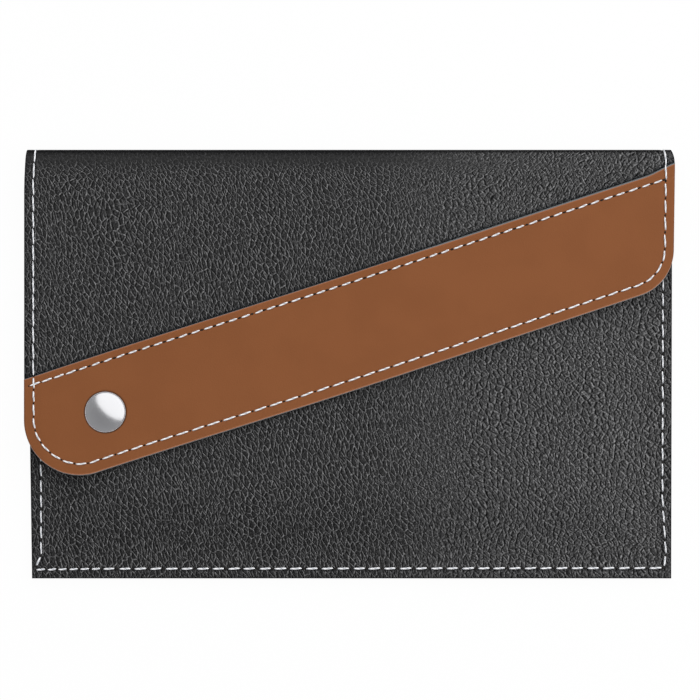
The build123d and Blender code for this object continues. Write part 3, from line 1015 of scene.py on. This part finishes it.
class Tree:
    """Adds nodes to a material's tree. Each method returns the socket that the next one takes."""

    def __init__(self, tree):
        self.tree = tree

    def add(self, kind, sockets=None, **settings):
        """One node with its settings, and values or links on its sockets."""
        made = self.tree.nodes.new(kind)
        for key, value in settings.items():
            setattr(made, key, value)
        self.feed(made, sockets or {})
        return made

    def feed(self, node, sockets):
        """Puts values or links on a node's sockets."""
        for key, value in sockets.items():
            if isinstance(value, bpy.types.NodeSocket):
                self.tree.links.new(value, node.inputs[key])
            else:
                node.inputs[key].default_value = value

    def uv(self):
        """The piece's own UV, in metres."""
        return self.add("ShaderNodeUVMap", uv_map="sheet").outputs["UV"]

    def solid(self):
        """The piece's own position, in metres."""
        return self.add("ShaderNodeTexCoord").outputs["Object"]

    def value(self, name):
        """A named point value of the mesh."""
        return self.add("ShaderNodeAttribute", attribute_name=name).outputs["Fac"]

    def math(self, operation, a, b):
        """A math node."""
        return self.add("ShaderNodeMath", {0: a, 1: b}, operation=operation).outputs[0]

    def times(self, a, b):
        """The product of two values."""
        return self.math("MULTIPLY", a, b)

    def minus(self, a, b):
        """The first value less the second."""
        return self.math("SUBTRACT", a, b)

    def most(self, a, b):
        """The greater of two values."""
        return self.math("MAXIMUM", a, b)

    def ramp(self, value, low, high, start=0.0, end=1.0):
        """A smooth step from one value to another."""
        sockets = {"Value": value, "From Min": low, "From Max": high, "To Min": start, "To Max": end}
        node = self.add("ShaderNodeMapRange", sockets, interpolation_type="SMOOTHSTEP")
        return node.outputs["Result"]

    def mix(self, share, a, b):
        """A mix of two colours."""
        a, b = ((*one, 1) if isinstance(one, tuple) else one for one in (a, b))
        return self.add("ShaderNodeMix", {"Factor": share, 6: a, 7: b}, data_type="RGBA").outputs[2]

    def split(self, place):
        """The X, Y and Z of a place."""
        return self.add("ShaderNodeSeparateXYZ", {0: place}).outputs

    def scale(self, vector, amount):
        """A place or colour times a value."""
        return self.add("ShaderNodeVectorMath", {0: vector, "Scale": amount}, operation="SCALE").outputs[0]

    def laid(self, place, wide, tall, turn):
        """A place measured in steps this wide and tall, along axes turned by some degrees."""
        sockets = {"Vector": place, "Scale": (wide, tall, 1), "Rotation": (0, 0, np.radians(turn))}
        return self.add("ShaderNodeMapping", sockets, vector_type="TEXTURE").outputs[0]

    def noise(self, place, size, detail=2.0, dimensions="2D"):
        """Noise whose features are about this size, in metres."""
        sockets = {"Vector": place, "Scale": 1 / size, "Detail": detail}
        return self.add("ShaderNodeTexNoise", sockets, noise_dimensions=dimensions)

    def warp(self, place, size, amount):
        """A place moved about by noise, up to about half the amount each way."""
        color = self.noise(place, size).outputs["Color"]
        centred = self.add("ShaderNodeVectorMath", {0: color, 1: (0.5, 0.5, 0.5)}, operation="SUBTRACT")
        moved = self.scale(centred.outputs[0], amount)
        return self.add("ShaderNodeVectorMath", {0: place, 1: moved}).outputs[0]

    def cells(self, place, wide, tall, turn, ragged=0.78):
        """Distance to the edge of diamond cells: a lattice stood on its corner, stretched and leaned."""
        sockets = {"Vector": self.laid(place, wide, tall, turn), "Rotation": (0, 0, np.pi / 4)}
        stood = self.add("ShaderNodeMapping", sockets).outputs[0]
        sockets = {"Vector": stood, "Scale": 1.0, "Randomness": ragged}
        settings = {"voronoi_dimensions": "2D", "feature": "DISTANCE_TO_EDGE"}
        return self.add("ShaderNodeTexVoronoi", sockets, **settings).outputs["Distance"]

    def bump(self, height, distance):
        """A bump whose full height is a distance in metres."""
        sockets = {"Height": height, "Distance": distance, "Strength": 1.0}
        return self.add("ShaderNodeBump", sockets).outputs["Normal"]


# %% [markdown]
# ## Leathercloth
# Layers of grain lie over each other, and at each point the strongest one shows. A layer is a net of
# cells or a set of broken streaks. Each has lit lines, painted as highlights, and a short step to the
# side, creases painted in shade. A steep net at the left turns into pebbles towards the right, where
# the ground is painted lighter as a sheen.

# %% Leathercloth
# Each grain layer's shaded copy is read this far to the side, so painted shade lies beside each painted
# highlight
SHADE_SHIFT = (-0.00042, 0.00005, 0.0)
SHADE_PHASE = 0.24
BLACK = (0.022, 0.022, 0.023)
GROUND_LEFT = (0.0135, 0.0135, 0.0137)
# The ground is painted lighter towards the right: a painted sheen
GROUND_RIGHT_SHEEN = (0.038, 0.038, 0.0382)
GRAIN_HIGHLIGHT = (0.232, 0.232, 0.233)
GRAIN_SHADE = (0.002, 0.002, 0.0022)
DARK_EDGE_AND_SHADE = (0.003, 0.003, 0.0035)
BAND_EDGE_SHADOW = (0.005, 0.007, 0.01)


def grain_cells(t, place, wide, tall, turn, width, wall):
    """Masks of a pebble grain: the lit lines between its cells, and the shaded lines beside them.

    At wall 0 every line is lit from end to end. At wall 1 only the sides that face the light are.
    """
    shifted = t.add("ShaderNodeVectorMath", {0: place, 1: SHADE_SHIFT}).outputs[0]
    edges = [t.cells(spot, wide, tall, turn) for spot in (place, shifted)]
    here, there = (t.ramp(edge, 0.0, width, 1.0, 0.0) for edge in edges)
    lit = t.most(t.minus(here, t.times(there, wall)), 0.0)
    shaded = t.most(t.minus(there, here), 0.0)
    uneven = t.ramp(t.noise(place, 0.0015).outputs["Fac"], 0.3, 0.65, 0.25, 1.0)
    return t.times(lit, uneven), shaded


def grain_streaks(t, place, spacing, turn, width, length):
    """Masks of wandering, broken streaks of painted highlight that lean one way, and of painted shade
    beside them.
    """
    across = t.split(t.laid(place, spacing, spacing, turn))["X"]
    wander = t.times(t.noise(place, 4.5 * spacing).outputs["Fac"], 1.8)
    phase = t.math("ADD", across, wander)
    masks = []
    for shift in (0.0, SHADE_PHASE):
        turned = t.math("FRACT", t.minus(phase, shift), 0.0)
        away = t.math("ABSOLUTE", t.minus(turned, 0.5), 0.0)
        masks.append(t.ramp(away, 0.0, width, 1.0, 0.0))
    stretched = t.laid(place, 0.8 * spacing, length, turn)
    kept = t.ramp(t.noise(stretched, 1.0, 1.0).outputs["Fac"], 0.42, 0.58)
    return [t.times(mask, kept) for mask in masks]


def make_leather():
    """Black grain: a steep net at the left and pebbles at the right, crossed by broken streaks."""
    made, t, shader = new_material("grained_leathercloth", BLACK, 0.5)
    uv = t.uv()
    inset = t.value("inset")
    fold = t.value("fold")
    place = t.warp(t.warp(uv, 0.04, 0.008), 0.0014, 0.0003)
    parts = t.split(uv)
    right = t.ramp(parts["X"], -0.01, 0.09)
    below_fold = t.times(t.ramp(parts["Y"], -0.2, -0.18), t.ramp(parts["Y"], -0.15, -0.13, 1.0, 0.0))
    turned = t.times(right, below_fold)
    # How strongly each layer shows, towards the right and below the fold
    shares = [
        t.times(t.ramp(right, 0.0, 1.0, 0.55, 0.5), t.ramp(turned, 0.0, 1.0, 1.0, 0.15)),
        t.ramp(turned, 0.0, 1.0, 0.15, 1.6),
        t.ramp(right, 0.3, 1.0, 0.92, 0.0),
        t.times(t.ramp(right, 0.08, 0.65, 0.0, 1.3), t.ramp(turned, 0.0, 1.0, 1.0, 0.8)),
        t.ramp(right, 0.0, 1.0, 0.2, 0.6),
        t.times(t.ramp(right, 0.0, 1.0, 0.0, 0.9), t.ramp(turned, 0.0, 1.0, 1.0, 0.2)),
    ]
    # Streaks: spacing, turn, line width, length. Cells: width, height, turn, line width, wall
    layers = [
        grain_streaks(t, place, 0.0017, 22, 0.14, 0.0026),
        grain_streaks(t, place, 0.0017, -36, 0.15, 0.002),
        grain_cells(t, place, 0.0016, 0.0035, 17, 0.14, 0.6),
        grain_cells(t, t.warp(place, 0.006, 0.0008), 0.002, 0.0028, 30, 0.22, 0.95),
        grain_cells(t, place, 0.0011, 0.0014, -15, 0.36, 1.0),
        grain_streaks(t, place, 0.0028, 42, 0.1, 0.006),
    ]
    masks = [0.0, 0.0]
    for layer, share in zip(layers, shares):
        masks = [t.most(mask, t.times(one, share)) for mask, one in zip(masks, layer)]
    flat = t.most(t.ramp(fold, 0.0, 0.5, 1.0, 0.12), t.times(right, 0.95))
    light, dark = (t.times(mask, flat) for mask in masks)
    fine = t.noise(place, 0.0007, 3.0).outputs["Fac"]
    height = t.math("ADD", t.minus(light, dark), t.times(fine, 0.6))
    # Painted highlight on the grain's lit lines, then painted shade on the lines beside them, as from a
    # light on one side
    color = t.mix(light, t.mix(right, GROUND_LEFT, GROUND_RIGHT_SHEEN), GRAIN_HIGHLIGHT)
    color = t.mix(t.times(dark, 0.88), color, GRAIN_SHADE)
    color = t.scale(color, t.ramp(fine, 0.25, 0.75, 0.45, 1.55))
    sheen = t.times(t.ramp(dark, 0.0, 0.8, 0.15, 0.03), t.ramp(fold, 0.5, 0.75, 1.0, 0.05))
    # Painted shade over the seam margin, beside the side rows and round the fold, with the cut edge darker
    # too
    from_row = t.math("ABSOLUTE", t.minus(inset, SIDE_ROW), 0.0)
    shades = [
        t.ramp(inset, 0.2, 0.9, 1.0, 0.0),
        t.ramp(inset, 0.8, 3.2, 0.3, 0.0),
        t.ramp(from_row, 0.45, 1.0, 0.6, 0.0),
        t.ramp(fold, 0.62, 0.79),
        t.ramp(fold, 0.33, 0.6, 0.0, 0.15),
    ]
    dark_edge_and_shade = 0.0
    for shade in shades:
        dark_edge_and_shade = t.most(dark_edge_and_shade, shade)
    color = t.mix(t.times(dark_edge_and_shade, 0.85), color, DARK_EDGE_AND_SHADE)
    # Painted shadow along the band's upper edge, where the sheet dips under it
    color = t.mix(t.times(t.value("dip_and_shadow"), 0.85), color, BAND_EDGE_SHADOW)
    t.feed(shader, {"Base Color": color, "Normal": t.bump(height, 0.00012), "Specular IOR Level": sheen})
    return made


# %% [markdown]
# ## Band and thread
# The band is smooth, with faint clouds. Its cut edges carry pale painted highlights and grey edge
# paint, and a painted shadow rings the stud. The thread's two plies are a wave that winds round each
# stitch, with painted shade in the hollows between them.

# %% Band and thread
DULL = 0.2
BROWN = (0.225, 0.078, 0.026)
BROWN_DARK = (0.222, 0.074, 0.0215)
BROWN_PALE = (0.234, 0.079, 0.0235)
BROWN_RIM = (0.12, 0.035, 0.008)
UPPER_EDGE_HIGHLIGHT = (0.34, 0.125, 0.055)
UPPER_PAINT_AND_HIGHLIGHT = (0.15, 0.165, 0.17)
LOWER_EDGE_HIGHLIGHT = (0.42, 0.17, 0.085)
LOWER_PAINT = (0.3, 0.31, 0.31)
STUD_SHADOW = (0.03, 0.008, 0.002)
TWISTS_PER_MM = 0.38
THREAD_WHITE = (0.75, 0.77, 0.8)
HOLLOW_SHADE = (0.58, 0.62, 0.67)
PLY = (0.97, 0.97, 0.98)


def make_brown():
    """Smooth brown leathercloth: clouds, edge paint, painted edge highlights, a painted stud shadow."""
    made, t, shader = new_material("smooth_brown", BROWN, 0.62)
    uv = t.uv()
    cloud = t.ramp(t.noise(uv, 0.02, 3.0).outputs["Fac"], 0.3, 0.7)
    color = t.mix(cloud, BROWN_DARK, BROWN_PALE)
    color = t.mix(t.ramp(t.value("inset"), 0.15, 0.5, 0.5, 0.0), color, BROWN_RIM)
    # Pale painted highlights line the cut edges; towards the right the upper grey edge paint widens into a
    # painted highlight
    upper = t.minus(t.value("upper"), t.ramp(t.split(uv)["X"], 0.01, 0.04, 0.0, 0.3))
    color = t.mix(t.ramp(upper, 0.3, 0.65, 1.0, 0.0), color, UPPER_EDGE_HIGHLIGHT)
    color = t.mix(t.ramp(upper, 0.1, 0.35, 1.0, 0.0), color, UPPER_PAINT_AND_HIGHLIGHT)
    lower = t.value("lower")
    color = t.mix(t.ramp(lower, 0.35, 0.75, 1.0, 0.0), color, LOWER_EDGE_HIGHLIGHT)
    color = t.mix(t.ramp(lower, 0.1, 0.4, 1.0, 0.0), color, LOWER_PAINT)
    # Painted shadow in a ring round the stud's cap
    color = t.mix(t.value("dip_and_shadow"), color, STUD_SHADOW)
    fine = t.noise(uv, 0.0006, 4.0).outputs["Fac"]
    t.feed(shader, {"Base Color": color, "Normal": t.bump(fine, 0.00003), "Specular IOR Level": DULL})
    return made


def make_twisted():
    """White sewing thread: two plies wound round each other, with painted grey-blue shade between them."""
    made, t, shader = new_material("white_thread", THREAD_WHITE, 0.7)
    parts = t.split(t.uv())
    phase = t.math("ADD", t.times(parts["X"], 2 / MM), t.times(parts["Y"], TWISTS_PER_MM / MM))
    ply = t.ramp(t.math("SINE", t.times(phase, 2 * np.pi), 0.0), -1.0, -0.1)
    # Painted shade in the hollows between the plies
    color = t.mix(ply, HOLLOW_SHADE, PLY)
    t.feed(shader, {"Base Color": color, "Normal": t.bump(ply, 0.00012), "Specular IOR Level": DULL})
    return made


# %% [markdown]
# ## Linings and small parts
# The lining is a plain weave: two sets of yarns that take turns on top, as the product of two waves.
# The metal is evenly plated, with fine wear that only changes its gloss. The board is pressed fibre
# and the needle holes are dark lenses of painted shade.

# %% Linings and small parts
YARN = 0.0007
LINING_BLACK = (0.03, 0.03, 0.033)
YARN_DARK = (0.012, 0.012, 0.014)
YARN_PALE = (0.045, 0.045, 0.05)
FUZZ = (0.06, 0.06, 0.066)


def make_weave():
    """A plain weave: each yarn is a wave, and the sign of their product says which is on top."""
    made, t, shader = new_material("woven_lining", LINING_BLACK, 0.85)
    uv = t.uv()
    parts = t.split(t.warp(uv, 0.01, 0.0002))
    waves = [t.math("SINE", t.times(parts[axis], np.pi / YARN), 0.0) for axis in "XY"]
    weave = t.ramp(t.times(*waves), -0.7, 0.7)
    fuzz = t.noise(uv, 0.0004, 3.0).outputs["Fac"]
    color = t.mix(t.times(fuzz, 0.4), t.mix(weave, YARN_DARK, YARN_PALE), FUZZ)
    t.feed(shader, {"Base Color": color, "Normal": t.bump(weave, 0.0001), "Specular IOR Level": DULL})
    return made


def make_mottled(name, dark, pale, grain, roughness, metallic=0.0, gloss=0.0):
    """A solid mottled by noise of one grain, in colour between two tones and a little in its gloss."""
    made, t, shader = new_material(name, pale, roughness, metallic)
    fine = t.noise(t.solid(), grain, 3.0, "3D").outputs["Fac"]
    color = t.mix(t.ramp(fine, 0.3, 0.7), dark, pale)
    rough = t.ramp(fine, 0.3, 0.7, roughness - gloss, roughness + gloss)
    t.feed(shader, {"Base Color": color, "Roughness": rough})
    return made


leather = make_leather()
brown = make_brown()
thread = make_twisted()
cloth = make_weave()
# Needle holes: dark lenses that stand for the shade in each hole
hole = make_mottled("needle_hole_shade", (0.004, 0.003, 0.002), (0.012, 0.008, 0.006), 0.0004, 0.9)
chrome = make_mottled("plated_cap", (0.545, 0.545, 0.555), (0.56, 0.56, 0.57), 0.0008, 0.22, 1.0, 0.03)
steel = make_mottled("plated_steel", (0.55, 0.55, 0.57), (0.62, 0.62, 0.64), 0.0006, 0.3, 1.0, 0.08)
board = make_mottled("fibre_board", (0.04, 0.036, 0.032), (0.09, 0.08, 0.07), 0.0009, 0.9)

for piece in (cover, front):
    dress(piece, leather)
for piece in (lining, front_lining):
    dress(piece, cloth)
for piece in (pouch_thread, cover_thread, band_edge, band_top, mouth_thread):
    dress(piece, thread)
for piece in (pouch_holes, cover_holes, band_holes):
    dress(piece, hole)
dress(band, brown)
dress(cap, chrome)
dress(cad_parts["back_board"], board)
for name in ("snap_socket", "snap_spring", "snap_stud", "snap_post"):
    dress(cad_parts[name], steel)

# %% [markdown]
# ## Stage, light and camera
# A white table, one large round softbox up to the right, and a grey room that is paler near its
# horizon. The camera looks straight down from 1.2 m.

# %% Table
TABLE_SIZE = 6.0
TABLE_WHITE = (0.9, 0.9, 0.9)
GLOW_SHARE = 0.96
bpy.ops.mesh.primitive_plane_add(size=TABLE_SIZE, location=(0, 0, 0))
table = bpy.context.object
table.name = "table"


def make_white():
    """A white table that the camera and reflections see as plain white with a faint shadow."""
    made, t, shader = new_material("white_table", TABLE_WHITE, 0.9)
    path = t.add("ShaderNodeLightPath").outputs
    seen = t.most(path["Is Camera Ray"], path["Is Glossy Ray"])
    share = t.times(t.most(seen, path["Is Transmission Ray"]), GLOW_SHARE)
    glow = t.add("ShaderNodeEmission", {"Color": (1, 1, 1, 1), "Strength": 1.0}).outputs[0]
    mixed = t.add("ShaderNodeMixShader", {0: share, 1: shader.outputs[0], 2: glow}).outputs[0]
    t.feed(made.node_tree.nodes["Material Output"], {"Surface": mixed})
    return made


dress(table, make_white())

# %% Light
ROOM_LOW = (0.48, 0.48, 0.49)
ROOM_HIGH = (0.36, 0.36, 0.37)
SOFTBOX_PLACE = (2.19, 2.61, 1.4)
SOFTBOX_TARGET = (2.19, 2.61, 0.0)
SOFTBOX_SIZE = 7.2
SOFTBOX_POWER = 165.0

room = bpy.data.worlds.new("room")
room.use_nodes = True
sky = Tree(room.node_tree)
height = sky.split(sky.add("ShaderNodeTexCoord").outputs["Generated"])["Z"]
grey = sky.mix(sky.ramp(height, 0.3, 1.0), ROOM_LOW, ROOM_HIGH)
sky.feed(room.node_tree.nodes["Background"], {"Color": grey, "Strength": 1.0})
bpy.context.scene.world = room


def softbox(name, place, target, size, power):
    """A round area light at a place, turned to face a target, in metres and watts."""
    lamp = bpy.data.lights.new(name, "AREA")
    lamp.shape = "DISK"
    lamp.size = size
    lamp.energy = power
    obj = bpy.data.objects.new(name, lamp)
    aim = Vector(target) - Vector(place)
    obj.matrix_world = Matrix.Translation(place) @ aim.to_track_quat("-Z", "Y").to_matrix().to_4x4()
    bpy.context.scene.collection.objects.link(obj)
    return obj


softbox("ceiling", SOFTBOX_PLACE, SOFTBOX_TARGET, SOFTBOX_SIZE, SOFTBOX_POWER)

# %% Camera
CAMERA_PLACE = (0.00035, 0.0053, 1.2)
SENSOR_WIDTH = 36.0
FOCAL_LENGTH = 165.8
CLIP_END = 10.0
lens = bpy.data.cameras.new("camera")
lens.sensor_width = SENSOR_WIDTH
lens.lens = FOCAL_LENGTH
lens.clip_end = CLIP_END
camera = bpy.data.objects.new("camera", lens)
camera.location = CAMERA_PLACE
bpy.context.scene.collection.objects.link(camera)
bpy.context.scene.camera = camera
bpy.context.scene.view_settings.view_transform = "Standard"
